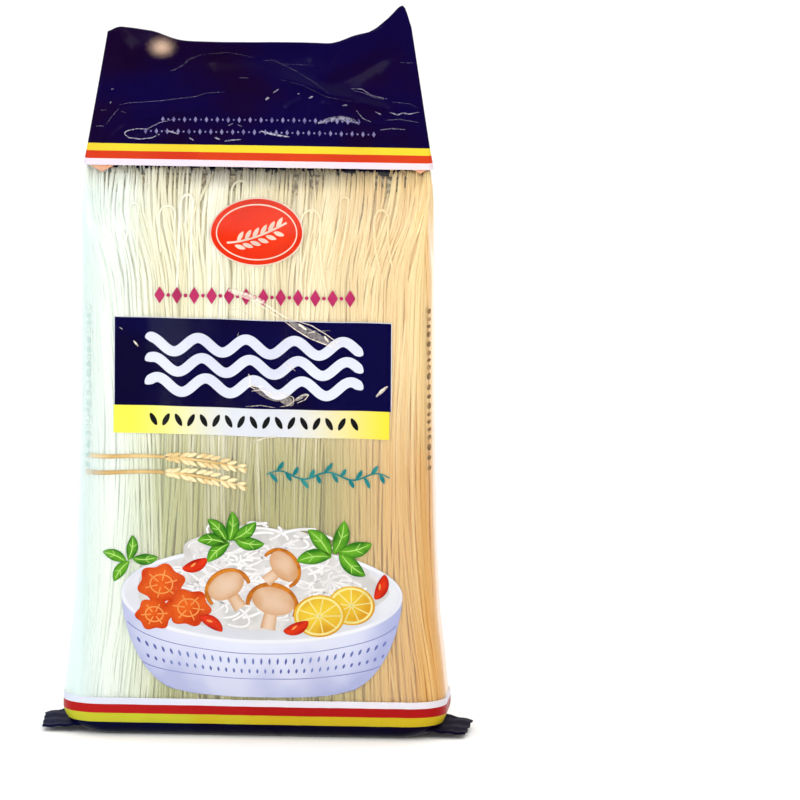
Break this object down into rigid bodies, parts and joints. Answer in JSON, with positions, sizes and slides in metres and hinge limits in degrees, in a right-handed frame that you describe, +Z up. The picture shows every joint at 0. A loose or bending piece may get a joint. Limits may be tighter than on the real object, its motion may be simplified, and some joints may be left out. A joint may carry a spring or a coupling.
{
  "type": "pack of dried rice vermicelli",
  "caption": "Sealed clear film pack of straight dried rice vermicelli with a flat printed header and a folded base, standing upright.",
  "frame": {"origin": "on the floor, under the middle of the pack's footprint", "axes": "+Z up from the folded base to the header, +X to the right of someone who faces the front, the front looks along -Y"},
  "size_m": [0.1828, 0.0568, 0.3102],
  "materials": {
    "noodles_in_film": "cream noodles under clear glossy film"
  },
  "bodies": {
    "root": {"noodle_pack": "noodles_in_film"}
  },
  "joints": []
}
